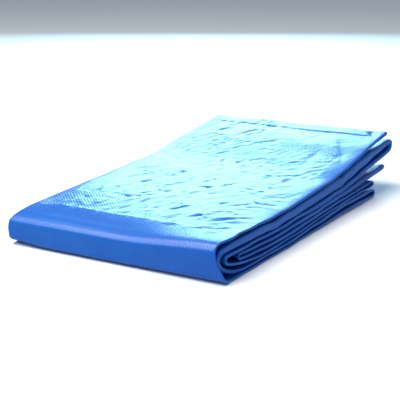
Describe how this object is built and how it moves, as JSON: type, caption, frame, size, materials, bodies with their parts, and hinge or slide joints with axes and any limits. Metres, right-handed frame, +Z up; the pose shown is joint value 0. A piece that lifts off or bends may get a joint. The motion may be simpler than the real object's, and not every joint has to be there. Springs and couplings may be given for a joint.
{
  "type": "folded tarp",
  "caption": "Flat packet of woven plastic sheet, folded into a strip and back and forth, doubled at the front so its leaves nest there and fan out at the back.",
  "frame": {"origin": "on the ground, under the middle of the packet's bounding box", "axes": "+Y from the doubled front edge to the loose back ends, +Z up, +X to the right seen from the front"},
  "size_m": [0.3158, 0.5398, 0.0872],
  "materials": {
    "blue_polyethylene": "coated woven plastic, satin to glossy"
  },
  "bodies": {
    "root": {"tarp": "blue_polyethylene"}
  },
  "joints": []
}
